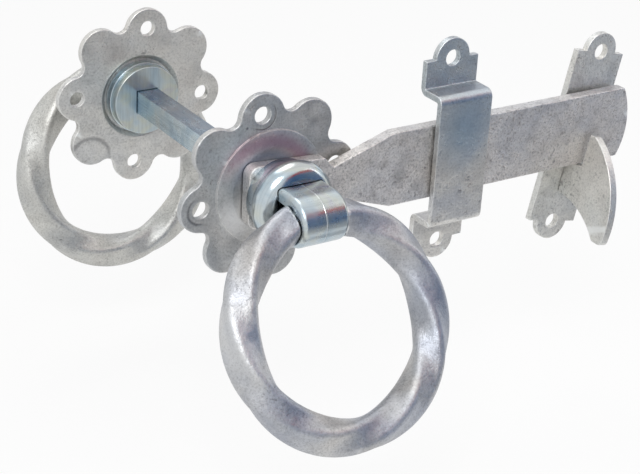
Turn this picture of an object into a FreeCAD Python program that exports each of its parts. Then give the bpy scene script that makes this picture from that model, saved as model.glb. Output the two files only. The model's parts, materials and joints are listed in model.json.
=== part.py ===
import FreeCAD, Part
import math
import os
import re
import Sketcher

# A ring gate latch: two ring handles on one square spindle, a latch bar on the spindle, a guide
# staple round the bar and a catch for the post. Millimetres, +Z up, +X along the bar to the post,
# +Y into the gate. The origin is on the spindle's axis, on the gate's front face.

doc = FreeCAD.newDocument("ring_gate_latch")
sheet = doc.addObject("Spreadsheet::Sheet", "sizes")

sizes = {
    "gate_thickness": 107.0,     # between the two roses' mounting faces
    "rose_plate": 3.2,
    "rose_lobe_radius": 10.0,
    "rose_lobe_circle": 30.0,    # radius on which the lobes' centres lie
    "rose_valley_radius": 4.0,
    "rose_hole_circle": 31.0,
    "front_rose_hole_diameter": 6.8,
    "rear_rose_hole_diameter": 6.4,
    "front_rose_turn": 7.8,      # degrees, left as seen from the front
    "rear_rose_turn": 5.8,
    "dish_radius": 24.2,
    "dish_step": 0.7,            # of the dish's crisp rim
    "dish_flat_radius": 17.5,
    "dish_rise": 2.0,
    "hollow_depth": 2.0,
    "hollow_clearance": 0.8,
    "running_clearance": 0.3,
    "seat_clearance": 0.2,
    "spindle_side": 10.0,
    "spindle_clearance": 0.15,
    "boss_wall": 2.4,
    "flange_radius": 16.2,
    "washer_radius": 15.5,
    "washer_thickness": 4.0,
    "bar_thickness": 5.6,
    "bar_half_height": 16.2,
    "bar_end": 182.4,
    "bar_end_radius": 34.0,
    "bar_taper_end": 53.5,
    "waist_reach": 25.0,
    "waist_half_height": 6.8,
    "head_back": 14.0,
    "head_half_height": 13.6,
    "head_front": 20.8,
    "head_front_half_height": 11.4,
    "head_corner": 4.5,
    "bar_lift": 5.5,             # degrees that the bar turns before it meets the staple
    "collar_base_radius": 15.2,
    "collar_bead_radius": 17.4,
    "bead_round": 6.0,
    "bead_height": 9.1,          # from the collar's base to the middle of its bead
    "slot_clearance": 0.3,
    "strap_width": 20.6,
    "strap_thickness": 5.0,
    "strap_clearance": 0.2,
    "strap_edge": 2.0,
    "rivet_diameter": 5.0,
    "rivet_height": 6.5,         # from the collar's base
    "spindle_reach": 13.6,       # of the spindle's end beyond the collar's base
    "ring_radius": 42.0,         # to the middle of the twisted bar
    "ring_side": 13.2,
    "ring_corner": 3.5,
    "ring_turns": 1.85,          # of twist in one full round
    "ring_phase": 13.0,          # degrees of the first ridge from the ring's front, at the eye
    "ring_clearance": 1.2,
    "shoulder_clearance": 0.6,
    "pin_clearance": 0.3,
    "pin_root": 0.9,             # of the pin inside each shoulder
    "front_ring_swing": 30.0,    # degrees away from the gate at rest
    "rear_ring_swing": 8.0,      # degrees towards the gate at rest
    "staple_centre": 86.4,       # along the bar
    "staple_width": 26.6,
    "staple_strip": 3.0,
    "staple_bend": 0.6,          # inside radius
    "staple_inner_height": 53.0,
    "staple_front_clearance": 0.8,
    "staple_hole_reach": 11.8,   # from the bridge to a screw hole
    "ear_radius": 8.6,
    "ear_hole_diameter": 6.8,
    "catch_inset": 22.4,         # from the bar's end to the middle of the catch
    "catch_drop": 7.2,           # of the catch's middle below the spindle
    "catch_lean": 12.0,          # degrees, with the top towards the post
    "catch_width": 27.6,
    "catch_plate": 3.4,
    "catch_hole_spacing": 80.0,
    "hook_thickness": 4.0,
    "hook_gap": 2.0,             # between the bar's front and the horn
    "hook_rest_gap": 0.3,
    "horn_height": 15.0,
    "horn_top": 3.4,             # across the horn's blunt top
    "horn_round": 1.2,
    "hook_root": 15.6,
    "hook_tip_reach": 33.6,
    "hook_tip_drop": 28.3,
    "hook_tip_width": 6.0,       # across the tip's blunt foot
    "hook_tip_round": 2.4,
    "hook_front_radius": 41.0,
    "hook_under_radius": 35.5,
    "tenon_height": 10.0,
    "tenon_clearance": 0.1,
}
for row, (name, value) in enumerate(sizes.items(), start=1):
    sheet.set(f"A{row}", name)
    sheet.set(f"B{row}", str(value))
    sheet.setAlias(f"B{row}", name)
doc.recompute()


def bound(text):
    """An expression of size names, with the sheet's name put before each."""
    return re.sub(r"[a-z_]+", lambda word: f"sizes.{word[0]}" if word[0] in sizes else word[0], text)


def number(text):
    result = sheet.evalExpression(bound(text))
    return float(getattr(result, "Value", result))


# Places worked out from the sizes, along the spindle away from the gate.
boss_radius = "( spindle_side * sqrt(2) / 2 + boss_wall )"
bore_radius = f"( {boss_radius} + running_clearance )"
hollow_radius = "( flange_radius + hollow_clearance )"
flange_seat = "( hollow_depth - seat_clearance )"
boss_end = "( rose_plate + dish_rise + seat_clearance )"
flange_back = "( washer_thickness - hollow_depth + seat_clearance )"
bar_front = f"( {boss_end} + bar_thickness )"
collar_height = "( bead_height + bead_round )"
half_diagonal = "( ( ring_side / 2 - ring_corner ) * sqrt(2) + ring_corner )"
eye_reach = f"( {collar_height} + {half_diagonal} + ring_clearance )"
strap_inner = "( spindle_side / 2 + strap_clearance )"
strap_outer = f"( {strap_inner} + strap_thickness )"
square_hole = "( spindle_side + 2 * spindle_clearance )"
front_base = bar_front
rear_base = boss_end


def bind(thing, **values):
    for name, text in values.items():
        thing.setExpression(name.replace("__", "."), bound(text))


def new_body(label):
    body = doc.addObject("PartDesign::Body", label)
    body.Label = label
    return body


def new_sketch(body, role, name):
    plane = next(item for item in body.Origin.OriginFeatures if item.Role == role)
    sketch = body.newObject("Sketcher::SketchObject", name)
    sketch.AttachmentSupport = [(plane, "")]
    sketch.MapMode = "FlatFace"
    return sketch


def hold(sketch, kind, target, name, text):
    """One named dimension of a sketch, bound to the sheet."""
    index = sketch.addConstraint(Sketcher.Constraint(kind, *target, number(text)))
    sketch.renameConstraint(index, name)
    sketch.setExpression(f"Constraints.{name}", bound(text))


def circle(sketch, name, across, up, radius):
    centre = FreeCAD.Vector(number(across), number(up), 0)
    curve = sketch.addGeometry(Part.Circle(centre, FreeCAD.Vector(0, 0, 1), number(radius)))
    hold(sketch, "DistanceX", (-1, 1, curve, 3), f"{name}_across", across)
    hold(sketch, "DistanceY", (-1, 1, curve, 3), f"{name}_up", up)
    hold(sketch, "Radius", (curve,), f"{name}_radius", radius)


def outline(sketch, name, corners):
    """A closed chain of lines and arcs. A corner is (across, up) and, where an arc leaves it for
    the next corner, (radius, turn), with turn +1 for an arc that turns left and -1 for right."""
    points = [FreeCAD.Vector(number(c[0]), number(c[1]), 0) for c in corners]
    starts, ends = [], []
    for place, corner in enumerate(corners):
        here, there = points[place], points[(place + 1) % len(points)]
        if len(corner) == 2:
            curve = sketch.addGeometry(Part.LineSegment(here, there))
            starts.append((curve, 1))
            ends.append((curve, 2))
            continue
        radius, turn = number(corner[2]), corner[3]
        chord = there - here
        side = FreeCAD.Vector(-chord.y, chord.x, 0).normalize() * turn
        centre = (here + there) / 2 + side * math.sqrt(max(radius ** 2 - chord.Length ** 2 / 4, 0))
        first, last = (here, there) if turn > 0 else (there, here)
        angles = [math.atan2(p.y - centre.y, p.x - centre.x) for p in (first, last)]
        whole = Part.Circle(centre, FreeCAD.Vector(0, 0, 1), radius)
        curve = sketch.addGeometry(Part.ArcOfCircle(whole, *angles))
        starts.append((curve, 1 if turn > 0 else 2))
        ends.append((curve, 2 if turn > 0 else 1))
    for place, corner in enumerate(corners):
        sketch.addConstraint(Sketcher.Constraint("Coincident", *ends[place - 1], *starts[place]))
        hold(sketch, "DistanceX", (-1, 1, *starts[place]), f"{name}_across_{place}", corner[0])
        hold(sketch, "DistanceY", (-1, 1, *starts[place]), f"{name}_up_{place}", corner[1])
        if len(corner) == 4:
            hold(sketch, "Radius", (starts[place][0],), f"{name}_radius_{place}", corner[2])


def minus(text):
    return f"( 0 - {text} )"


def rounded(corners):
    """Corners of a right-angled outline, (across, up, radius or None), with arcs put in."""
    points = [(number(c[0]), number(c[1])) for c in corners]
    result = []
    for place, (across, up, radius) in enumerate(corners):
        if radius is None:
            result.append((across, up))
            continue
        here, last, following = points[place], points[place - 1], points[(place + 1) % len(points)]
        moves = []
        for other in (last, following):
            steps = [other[0] - here[0], other[1] - here[1]]
            signs = [0 if abs(step) < 1e-6 else math.copysign(1, step) for step in steps]
            moves.append((f"( {across} + {signs[0]:g} * {radius} )", f"( {up} + {signs[1]:g} * {radius} )"))
        into = (here[0] - last[0], here[1] - last[1])
        out = (following[0] - here[0], following[1] - here[1])
        result.append((*moves[0], radius, 1 if into[0] * out[1] > into[1] * out[0] else -1))
        result.append(moves[1])
    return result


def rectangle(half_across, half_up, radius=None):
    return rounded([
        (minus(half_across), minus(half_up), radius),
        (half_across, minus(half_up), radius),
        (half_across, half_up, radius),
        (minus(half_across), half_up, radius),
    ])


def pad(body, sketch, length, symmetric=False, reverse=False):
    feature = body.newObject("PartDesign::Pad", f"{sketch.Name}_pad")
    feature.Profile = sketch
    feature.SideType = "Symmetric" if symmetric else "One side"
    feature.Reversed = reverse
    bind(feature, Length=length)
    doc.recompute()
    return feature


def pocket(body, sketch):
    """A cut right through the body, both ways from the sketch."""
    before = body.Shape.Volume
    feature = body.newObject("PartDesign::Pocket", f"{sketch.Name}_pocket")
    feature.Profile = sketch
    feature.SideType = "Two sides"
    feature.Type = "ThroughAll"
    feature.Type2 = "ThroughAll"
    doc.recompute()
    if not body.Shape.Volume < before:
        raise RuntimeError(f"{feature.Name} cuts nothing")
    return feature


def turned(body, kind, sketch):
    """A revolution or groove about the sketch's own level axis, which is the spindle's."""
    feature = body.newObject(f"PartDesign::{kind}", f"{sketch.Name}_{kind.lower()}")
    feature.Profile = sketch
    feature.ReferenceAxis = (sketch, ["H_Axis"])
    feature.Angle = 360
    doc.recompute()
    return feature


def round_edges(body, radius, chosen):
    names = [f"Edge{i}" for i, edge in enumerate(body.Tip.Shape.Edges, start=1) if chosen(edge)]
    feature = body.newObject("PartDesign::Fillet", f"{body.Name}_round_{len(body.Group)}")
    feature.Base = (body.Group[-2], names)
    bind(feature, Radius=radius)
    doc.recompute()
    return feature


def place(thing, along, rear=False):
    """Stand a piece of a handle on the spindle: along is its distance out from the gate's face."""
    if rear:
        thing.Placement = FreeCAD.Placement(FreeCAD.Vector(), FreeCAD.Rotation(FreeCAD.Vector(0, 0, 1), 180))
        bind(thing, Placement__Base__y=f"gate_thickness + {along}")
    else:
        bind(thing, Placement__Base__y=minus(along))


# Roses: a flower of eight lobes with a shallow dish pressed out of its middle.
def rose(label, turn, hole_diameter, rear):
    body = new_body(label)
    flower = new_sketch(body, "XZ_Plane", f"{label}_flower")
    reach = "( rose_lobe_radius + rose_valley_radius )"
    offset = "( rose_lobe_circle * sin(22.5) )"
    valley = f"( rose_lobe_circle * cos(22.5) + sqrt( {reach} * {reach} - {offset} * {offset} ) )"
    share = f"( rose_lobe_radius / {reach} )"
    radial = f"( rose_lobe_circle + {share} * ( {valley} * cos(22.5) - rose_lobe_circle ) )"
    sideways = f"( {share} * {valley} * sin(22.5) )"
    corners = []
    for lobe in range(8):
        angle = 45 * lobe
        for sign, radius, bend in ((-1, "rose_lobe_radius", 1), (1, "rose_valley_radius", -1)):
            across = f"( {radial} * cos({angle}) - {sign} * {sideways} * sin({angle}) )"
            up = f"( {radial} * sin({angle}) + {sign} * {sideways} * cos({angle}) )"
            corners.append((across, up, radius, bend))
    outline(flower, "flower", corners)
    pad(body, flower, "rose_plate")
    dish = new_sketch(body, "YZ_Plane", f"{label}_dish")
    top = "( 0 - rose_plate - dish_rise )"
    outline(dish, "dish", [
        (minus("rose_plate"), "0"),
        (top, "0"),
        (top, "dish_flat_radius"),
        (minus("( rose_plate + dish_step )"), "dish_radius"),
        (minus("rose_plate"), "dish_radius"),
    ])
    turned(body, "Revolution", dish)
    hollow = new_sketch(body, "YZ_Plane", f"{label}_hollow")
    outline(hollow, "hollow", [
        ("0", "0"),
        ("0", f"( {hollow_radius} + hollow_depth )"),
        (minus("hollow_depth"), hollow_radius),
        (minus("hollow_depth"), "0"),
    ])
    turned(body, "Groove", hollow)
    bore = new_sketch(body, "XZ_Plane", f"{label}_bore")
    circle(bore, "bore", "0", "0", bore_radius)
    pocket(body, bore)
    holes = new_sketch(body, "XZ_Plane", f"{label}_holes")
    for side, (across, up) in enumerate(((1, 0), (0, 1), (-1, 0), (0, -1))):
        reach_across, reach_up = f"{across} * rose_hole_circle", f"{up} * rose_hole_circle"
        circle(holes, f"hole_{side}", reach_across, reach_up, f"{hole_diameter} / 2")
    pocket(body, holes)
    facing = FreeCAD.Rotation(FreeCAD.Vector(0, 0, 1), 180 if rear else 0)
    spin = FreeCAD.Rotation(FreeCAD.Vector(0, 1, 0), number(turn) if rear else -number(turn))
    body.Placement = FreeCAD.Placement(FreeCAD.Vector(), spin.multiply(facing))
    if rear:
        bind(body, Placement__Base__y="gate_thickness")
    return body


# Bushes: a flange in the rose's hollow and a boss through its bore, with a square hole.
def bush(label, rear):
    body = new_body(label)
    shape = new_sketch(body, "YZ_Plane", f"{label}_profile")
    outline(shape, "profile", [
        (flange_back, "0"),
        (minus(boss_end), "0"),
        (minus(boss_end), boss_radius),
        (minus(flange_seat), boss_radius),
        (minus(flange_seat), "flange_radius"),
        (flange_back, "flange_radius"),
    ])
    turned(body, "Revolution", shape)
    hole = new_sketch(body, "XZ_Plane", f"{label}_square")
    outline(hole, "square", rectangle(f"{square_hole} / 2", f"{square_hole} / 2"))
    pocket(body, hole)
    place(body, "0", rear)
    return body


def retaining_washer(label, rear):
    body = new_body(label)
    shape = new_sketch(body, "XZ_Plane", f"{label}_disc")
    circle(shape, "disc", "0", "0", "washer_radius")
    pad(body, shape, "washer_thickness", reverse=True)
    hole = new_sketch(body, "XZ_Plane", f"{label}_square")
    outline(hole, "square", rectangle(f"{square_hole} / 2", f"{square_hole} / 2"))
    pocket(body, hole)
    place(body, minus(flange_back), rear)
    return body


# Collars: a turned bead with a slot right through it for the strap and the spindle.
def collar(label, along, rear):
    body = new_body(label)
    profile = new_sketch(body, "YZ_Plane", f"{label}_profile")
    bead_circle = "( collar_bead_radius - bead_round )"
    neck = f"( collar_base_radius - {bead_circle} )"
    neck_height = f"( bead_height - sqrt( bead_round * bead_round - {neck} * {neck} ) )"
    outline(profile, "profile", [
        ("0", "0"),
        ("0", "collar_base_radius"),
        (minus(neck_height), "collar_base_radius", "bead_round", 1),
        (minus("bead_height"), "collar_bead_radius", "bead_round", 1),
        (minus(collar_height), bead_circle),
        (minus(collar_height), "0"),
    ])
    turned(body, "Revolution", profile)
    slot = new_sketch(body, "XZ_Plane", f"{label}_slot")
    half_across = "( strap_width / 2 + slot_clearance )"
    half_up = f"( {strap_outer} + slot_clearance )"
    outline(slot, "slot", rectangle(half_across, half_up, "( strap_edge + slot_clearance )"))
    pocket(body, slot)
    place(body, along, rear)
    return body


# Eyes: a strap bent round the ring's pin, with its legs on both sides of the spindle.
def eye(label, along, rear):
    body = new_body(label)
    profile = new_sketch(body, "YZ_Plane", f"{label}_profile")
    foot, bend = minus("slot_clearance"), minus(eye_reach)
    outline(profile, "strap", [
        (foot, strap_outer),
        (bend, strap_outer, strap_outer, 1),
        (f"( {bend} - {strap_outer} )", "0", strap_outer, 1),
        (bend, minus(strap_outer)),
        (foot, minus(strap_outer)),
        (foot, minus(strap_inner)),
        (bend, minus(strap_inner), strap_inner, -1),
        (f"( {bend} - {strap_inner} )", "0", strap_inner, -1),
        (bend, strap_inner),
        (foot, strap_inner),
    ])
    pad(body, profile, "strap_width", symmetric=True)
    half_width, outer = number("strap_width / 2"), number(strap_outer)

    def outside(edge):
        if abs(edge.CenterOfMass.x) < half_width - 1e-6:
            return False
        if isinstance(edge.Curve, Part.Circle):
            return abs(edge.Curve.Radius - outer) < 1e-6
        return abs(abs(edge.CenterOfMass.z) - outer) < 1e-6

    round_edges(body, "strap_edge", outside)
    hole = new_sketch(body, "XY_Plane", f"{label}_rivet_hole")
    circle(hole, "rivet", "0", minus("rivet_height"), "rivet_diameter / 2")
    pocket(body, hole)
    place(body, along, rear)
    return body


def rivet(label, along, rear):
    pin = doc.addObject("Part::Cylinder", label)
    pin.Label = label
    bind(pin, Radius="rivet_diameter / 2", Height=f"2 * {strap_outer}", Placement__Base__z=minus(strap_outer))
    bind(pin, Placement__Base__y=(
        f"gate_thickness + {along} + rivet_height" if rear else minus(f"( {along} + rivet_height )")))
    return pin


# Spindle: a square bar from inside one collar to inside the other.
def spindle(label):
    body = new_body(label)
    section = new_sketch(body, "XZ_Plane", f"{label}_section")
    outline(section, "section", rectangle("spindle_side / 2", "spindle_side / 2"))
    length = f"( gate_thickness + {front_base} + {rear_base} + 2 * spindle_reach )"
    pad(body, section, length)
    holes = new_sketch(body, "XY_Plane", f"{label}_rivet_holes")
    inset = "( spindle_reach - rivet_height )"
    circle(holes, "rear", "0", minus(inset), "rivet_diameter / 2")
    circle(holes, "front", "0", f"( {inset} - {length} )", "rivet_diameter / 2")
    pocket(body, holes)
    bind(body, Placement__Base__y=f"gate_thickness + {rear_base} + spindle_reach")
    return body


# Rings: a square bar twisted as it goes round, with a round pin between two shoulders at the top.
ring_stations = 37


def ring_section(angle):
    side, corner, radius = number("ring_side") / 2, number("ring_corner"), number("ring_radius")
    outward = FreeCAD.Vector(-math.sin(angle), 0, math.cos(angle))
    forward = FreeCAD.Vector(0, -1, 0)
    middle = outward * radius - FreeCAD.Vector(0, 0, radius)
    ridge = math.radians(number("ring_phase")) - number("ring_turns") * angle

    def point(distance, lean):
        return middle + (forward * math.cos(lean) + outward * math.sin(lean)) * distance

    def spot(along, across, quarter):
        lean = ridge + math.pi / 4 + quarter * math.pi / 2 + math.atan2(across, along)
        return point(math.hypot(along, across), lean)

    flat, round_middle = side - corner, side - corner + corner / math.sqrt(2)
    edges = []
    for quarter in range(4):
        begin, end = spot(side, -flat, quarter), spot(side, flat, quarter)
        edges.append(Part.LineSegment(begin, end).toShape())
        tip, onward = spot(round_middle, round_middle, quarter), spot(side, -flat, quarter + 1)
        edges.append(Part.Arc(end, tip, onward).toShape())
    return Part.Wire(edges)


def ring(label, along, rear):
    shoulder = number("strap_width") / 2 + number("shoulder_clearance")
    sunk = number("pin_root")
    start = math.asin((shoulder - sunk) / (number("ring_radius") + number(half_diagonal)))
    step = (2 * math.pi - 2 * start) / (ring_stations - 1)
    sections = [ring_section(start + step * index) for index in range(ring_stations)]
    twisted = Part.makeLoft(sections, True, False, False)
    depth = 2 * number("ring_side")
    corner = FreeCAD.Vector(-shoulder, -depth / 2, -depth / 2)
    opened = twisted.cut(Part.makeBox(2 * shoulder, depth, depth, corner))
    pin_radius = number(f"{strap_inner} - pin_clearance")
    tail = FreeCAD.Vector(-shoulder - sunk, 0, 0)
    pin = Part.makeCylinder(pin_radius, 2 * (shoulder + sunk), tail, FreeCAD.Vector(1, 0, 0))
    piece = doc.addObject("Part::Feature", label)
    piece.Label = label
    piece.Shape = opened.fuse(pin).removeSplitter()
    tilt = number("rear_ring_swing") if rear else -number("front_ring_swing")
    facing = FreeCAD.Rotation(FreeCAD.Vector(0, 0, 1), 180 if rear else 0)
    swing = FreeCAD.Rotation(FreeCAD.Vector(1, 0, 0), tilt)
    distance = number(f"{along} + {eye_reach}")
    spot = FreeCAD.Vector(0, number("gate_thickness") + distance if rear else -distance, 0)
    piece.Placement = FreeCAD.Placement(spot, facing.multiply(swing))
    return piece


# Latch bar: a flat bar with a waist next to its head, which sits on the spindle.
def latch_bar(label):
    body = new_body(label)
    side = new_sketch(body, "XZ_Plane", f"{label}_side")
    bulge = "( bar_end_radius - sqrt( bar_end_radius * bar_end_radius - bar_half_height * bar_half_height ) )"
    end = f"( bar_end - {bulge} )"
    outline(side, "side", [
        (minus("head_back"), minus("head_half_height")),
        ("head_front", minus("head_front_half_height")),
        ("waist_reach", minus("waist_half_height")),
        ("bar_taper_end", minus("bar_half_height")),
        (end, minus("bar_half_height"), "bar_end_radius", 1),
        (end, "bar_half_height"),
        ("bar_taper_end", "bar_half_height"),
        ("waist_reach", "waist_half_height"),
        ("head_front", "head_front_half_height"),
        (minus("head_back"), "head_half_height"),
    ])
    pad(body, side, "bar_thickness")
    back = number(minus("head_back"))

    def head_end(edge):
        box = edge.BoundBox
        return box.XLength < 1e-6 and box.ZLength < 1e-6 and abs(box.XMin - back) < 1e-6

    round_edges(body, "head_corner", head_end)
    hole = new_sketch(body, "XZ_Plane", f"{label}_square")
    outline(hole, "square", rectangle(f"{square_hole} / 2", f"{square_hole} / 2"))
    pocket(body, hole)
    bind(body, Placement__Base__y=minus(boss_end))
    return body


# Guide staple: a strip bent into a bridge, high enough for the bar to lift off the catch.
def guide_staple(label):
    body = new_body(label)
    strip = new_sketch(body, "YZ_Plane", f"{label}_strip")
    inner = "( staple_inner_height / 2 )"
    outer = f"( {inner} + staple_strip )"
    hole_level = f"( {outer} + staple_hole_reach )"
    inside = minus(f"( {bar_front} + staple_front_clearance )")
    front = minus(f"( {bar_front} + staple_front_clearance + staple_strip )")
    face = minus("staple_strip")
    tight, wide = "staple_bend", "( staple_bend + staple_strip )"
    outline(strip, "strip", rounded([
        ("0", hole_level, None),
        (face, hole_level, None),
        (face, outer, tight),
        (front, outer, wide),
        (front, minus(outer), wide),
        (face, minus(outer), tight),
        (face, minus(hole_level), None),
        ("0", minus(hole_level), None),
        ("0", minus(inner), wide),
        (inside, minus(inner), tight),
        (inside, inner, tight),
        ("0", inner, wide),
    ]))
    pad(body, strip, "staple_width", symmetric=True)
    ears = new_sketch(body, "XZ_Plane", f"{label}_ears")
    circle(ears, "upper", "0", hole_level, "ear_radius")
    circle(ears, "lower", "0", minus(hole_level), "ear_radius")
    pad(body, ears, "staple_strip")
    holes = new_sketch(body, "XZ_Plane", f"{label}_holes")
    circle(holes, "upper", "0", hole_level, "ear_hole_diameter / 2")
    circle(holes, "lower", "0", minus(hole_level), "ear_hole_diameter / 2")
    pocket(body, holes)
    far_edge = "( staple_centre + staple_width / 2 )"
    lifted = f"( bar_half_height / cos(bar_lift) + {far_edge} * tan(bar_lift) )"
    bind(body, Placement__Base__x="staple_centre")
    bind(body, Placement__Base__z=f"{lifted} + running_clearance - {inner}")
    return body


# Catch: a plate with a hooked fin tenoned into it, which the bar drops behind.
notch_level = (
    "( ( catch_drop - bar_half_height - hook_rest_gap - hook_thickness / 2 * sin(catch_lean) )"
    " / cos(catch_lean) )")
tenon_middle = f"( {notch_level} - hook_root / 2 )"


def stand_catch(body):
    lean = FreeCAD.Rotation(FreeCAD.Vector(0, 1, 0), number("catch_lean"))
    body.Placement = FreeCAD.Placement(FreeCAD.Vector(), lean)
    bind(body, Placement__Base__x="bar_end - catch_inset", Placement__Base__z=minus("catch_drop"))


def catch_plate(label):
    body = new_body(label)
    half = "( catch_hole_spacing / 2 )"
    strip = new_sketch(body, "XZ_Plane", f"{label}_strip")
    outline(strip, "strip", rectangle("( catch_width / 2 )", half))
    pad(body, strip, "catch_plate")
    ears = new_sketch(body, "XZ_Plane", f"{label}_ears")
    circle(ears, "upper", "0", half, "ear_radius")
    circle(ears, "lower", "0", minus(half), "ear_radius")
    pad(body, ears, "catch_plate")
    holes = new_sketch(body, "XZ_Plane", f"{label}_holes")
    circle(holes, "upper", "0", half, "ear_hole_diameter / 2")
    circle(holes, "lower", "0", minus(half), "ear_hole_diameter / 2")
    pocket(body, holes)
    slot = new_sketch(body, "XZ_Plane", f"{label}_slot")
    half_across = "( hook_thickness / 2 + tenon_clearance )"
    top = f"( {tenon_middle} + tenon_height / 2 + tenon_clearance )"
    foot = f"( {tenon_middle} - tenon_height / 2 - tenon_clearance )"
    outline(slot, "slot", [
        (minus(half_across), foot),
        (half_across, foot),
        (half_across, top),
        (minus(half_across), top),
    ])
    pocket(body, slot)
    stand_catch(body)
    return body


def catch_hook(label):
    body = new_body(label)
    fin = new_sketch(body, "YZ_Plane", f"{label}_fin")
    face = minus("catch_plate")
    horn = minus(f"( {bar_front} + hook_gap )")
    horn_front = minus(f"( {bar_front} + hook_gap + horn_top )")
    tip = minus("( catch_plate + hook_tip_reach )")
    tip_back = minus("( catch_plate + hook_tip_reach - hook_tip_width )")
    top, foot = f"( {notch_level} + horn_height )", f"( {notch_level} - hook_tip_drop )"
    outline(fin, "fin", [
        (face, notch_level),
        (face, f"( {tenon_middle} + tenon_height / 2 )"),
        ("0", f"( {tenon_middle} + tenon_height / 2 )"),
        ("0", f"( {tenon_middle} - tenon_height / 2 )"),
        (face, f"( {tenon_middle} - tenon_height / 2 )"),
        (face, f"( {notch_level} - hook_root )", "hook_under_radius", 1),
        (tip_back, foot),
        (tip, foot, "hook_front_radius", -1),
        (horn_front, top),
        (horn, top),
        (horn, notch_level),
    ])
    pad(body, fin, "hook_thickness", symmetric=True)

    def across_at(*spots):
        places = [(number(along), number(up)) for along, up in spots]

        def chosen(edge):
            box = edge.BoundBox
            level = box.YLength < 1e-6 and box.ZLength < 1e-6
            return level and any(math.dist((box.YMin, box.ZMin), spot) < 1e-4 for spot in places)
        return chosen

    round_edges(body, "hook_tip_round", across_at((tip, foot), (tip_back, foot)))
    round_edges(body, "horn_round", across_at((horn_front, top)))
    stand_catch(body)
    return body


pieces = [
    rose("front_rose", "front_rose_turn", "front_rose_hole_diameter", False),
    rose("rear_rose", "rear_rose_turn", "rear_rose_hole_diameter", True),
    bush("front_bush", False),
    bush("rear_bush", True),
    retaining_washer("front_retaining_washer", False),
    retaining_washer("rear_retaining_washer", True),
    collar("front_collar", front_base, False),
    collar("rear_collar", rear_base, True),
    eye("front_eye", front_base, False),
    eye("rear_eye", rear_base, True),
    rivet("front_eye_rivet", front_base, False),
    rivet("rear_eye_rivet", rear_base, True),
    spindle("spindle"),
    ring("front_ring", front_base, False),
    ring("rear_ring", rear_base, True),
    latch_bar("latch_bar"),
    guide_staple("guide_staple"),
    catch_plate("catch_plate"),
    catch_hook("catch_hook"),
]
doc.recompute()

for thing in doc.Objects:
    if "Invalid" in thing.State or "Error" in thing.State:
        raise RuntimeError(f"{thing.Label} failed: {thing.State}")
for piece in pieces:
    if piece.Shape.isNull() or not piece.Shape.isValid() or len(piece.Shape.Solids) != 1:
        raise RuntimeError(f"{piece.Label} is not one valid solid")

os.makedirs("parts", exist_ok=True)
for piece in pieces:
    piece.Shape.exportStep(f"parts/{piece.Label}.step")
    print(piece.Label, round(piece.Shape.Volume), "cubic millimetres")
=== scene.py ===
import bmesh
import bpy
import json
import math
from mathutils import Matrix, Vector, noise


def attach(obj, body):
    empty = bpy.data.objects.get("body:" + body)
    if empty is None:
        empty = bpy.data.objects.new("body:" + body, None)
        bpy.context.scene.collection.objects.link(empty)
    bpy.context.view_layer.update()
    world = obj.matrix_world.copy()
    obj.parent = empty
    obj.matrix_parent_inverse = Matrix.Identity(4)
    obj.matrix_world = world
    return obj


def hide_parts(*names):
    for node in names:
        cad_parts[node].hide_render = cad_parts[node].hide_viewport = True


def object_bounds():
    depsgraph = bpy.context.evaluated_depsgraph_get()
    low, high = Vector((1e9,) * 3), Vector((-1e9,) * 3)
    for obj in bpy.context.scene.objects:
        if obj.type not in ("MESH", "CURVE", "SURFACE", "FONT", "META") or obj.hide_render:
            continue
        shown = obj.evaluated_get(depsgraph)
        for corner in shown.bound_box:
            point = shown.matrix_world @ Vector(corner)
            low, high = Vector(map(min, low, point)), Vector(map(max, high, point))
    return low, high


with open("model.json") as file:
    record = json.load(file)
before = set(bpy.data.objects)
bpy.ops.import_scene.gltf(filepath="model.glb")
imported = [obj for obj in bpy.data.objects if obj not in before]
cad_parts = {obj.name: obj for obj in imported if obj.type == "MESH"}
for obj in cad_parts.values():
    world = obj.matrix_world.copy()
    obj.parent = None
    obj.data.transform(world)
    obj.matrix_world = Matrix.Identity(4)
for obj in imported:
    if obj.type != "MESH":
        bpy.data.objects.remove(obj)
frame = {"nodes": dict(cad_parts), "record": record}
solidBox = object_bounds()
scene = bpy.context.scene
scene.view_settings.view_transform = "Standard"
mm = 0.001
print("latch solids loaded:", len(frame["nodes"]))


def linear(hexText):  # sRGB hex to the linear colour that nodes take
    parts = [int(hexText[i:i + 2], 16) / 255 for i in (1, 3, 5)]
    return tuple(p / 12.92 if p <= 0.04045 else ((p + 0.055) / 1.055) ** 2.4 for p in parts) + (1.0,)


def addNode(tree, kind, inputs=None, stops=None, **settings):
    node = tree.nodes.new(kind)
    for name, value in settings.items():
        setattr(node, name, value)
    for name, value in (inputs or {}).items():
        if isinstance(value, bpy.types.NodeSocket):
            tree.links.new(value, node.inputs[name])
        else:
            node.inputs[name].default_value = value
    if stops:  # colour ramp, (place, hex or grey)
        ramp = node.color_ramp
        while len(ramp.elements) < len(stops):
            ramp.elements.new(0.5)
        for element, (place, tone) in zip(ramp.elements, stops):
            element.position = place
            element.color = linear(tone) if isinstance(tone, str) else (tone, tone, tone, 1.0)
    return node


def perMm(size):  # texture scale for a pattern of that many millimetres
    return 1000.0 / size


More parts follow.
